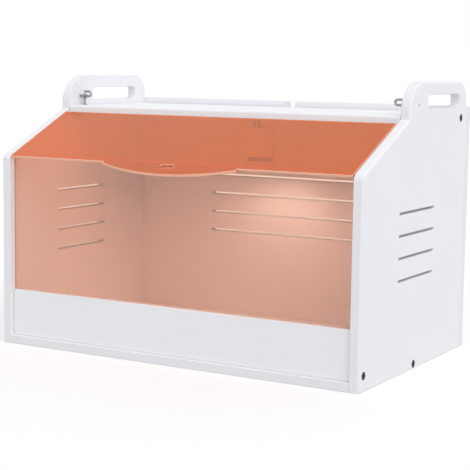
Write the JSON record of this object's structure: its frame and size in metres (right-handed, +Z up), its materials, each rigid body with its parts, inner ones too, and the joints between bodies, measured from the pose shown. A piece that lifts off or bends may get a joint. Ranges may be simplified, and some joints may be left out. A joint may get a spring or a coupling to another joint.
{
  "type": "chick brooder box",
  "caption": "White board brooder box with a see-through sloped flap door, a front window, a rear-hinged roof lid with pin latches, carrying lugs, vent slots and a hanging warming lamp",
  "frame": {"origin": "Middle of the box's footprint on the floor, on the underside of the floor board.", "axes": "+X to the right seen from the front, along the width; +Y to the back; +Z up."},
  "size_m": [0.48, 0.3199, 0.325],
  "materials": {
    "board": "smooth white foamed board",
    "window_acrylic": "clear tinted sheet",
    "door_acrylic": "clear tinted sheet, deeper tint",
    "black_screw": "black phosphate",
    "white_nylon": "moulded",
    "bright_wire": "bright",
    "lamp_shell": "smooth",
    "lamp_dark": "matt",
    "lamp_holder": "glazed",
    "bulb_glass": "frosted"
  },
  "bodies": {
    "case": {"left_side_panel": "board", "right_side_panel": "board", "back_panel": "board", "base_panel": "board", "front_panel": "board", "window_pane": "window_acrylic", "side_screws_left": "black_screw", "side_screws_right": "black_screw", "back_screws": "black_screw", "lid_pivot_left": "black_screw", "lid_pivot_right": "black_screw", "lid_rest_left": "board", "lid_rest_right": "board"},
    "door": {"door_pane": "door_acrylic", "door_pivot_left": "white_nylon", "door_pivot_right": "white_nylon"},
    "lid": {"roof_lid": "board", "latch_eye_left": "bright_wire", "latch_eye_right": "bright_wire", "lamp_studs": "black_screw", "lamp_housing": "lamp_shell", "lamp_neck": "lamp_dark", "lamp_shade": "lamp_shell", "lamp_socket": "lamp_holder", "lamp_bulb": "bulb_glass", "lamp_gland": "white_nylon"},
    "latch_l": {"latch_pin_left": "bright_wire"},
    "latch_r": {"latch_pin_right": "bright_wire"}
  },
  "joints": [
    {"name": "door_flap", "type": "hinge", "parent": "case", "child": "door", "pos_m": [0, -0.04439, 0.27108], "axis": [-1, 0, 0], "range_deg": [0, 127]},
    {"name": "lid_flip", "type": "hinge", "parent": "case", "child": "lid", "pos_m": [0, 0.12, 0.2815], "axis": [-1, 0, 0], "range_deg": [0, 125]},
    {"name": "latch_left", "type": "slide", "parent": "lid", "child": "latch_l", "axis": [-1, 0, 0], "range_m": [0, 0.0045]},
    {"name": "latch_right", "type": "slide", "parent": "lid", "child": "latch_r", "axis": [1, 0, 0], "range_m": [0, 0.0045]}
  ]
}
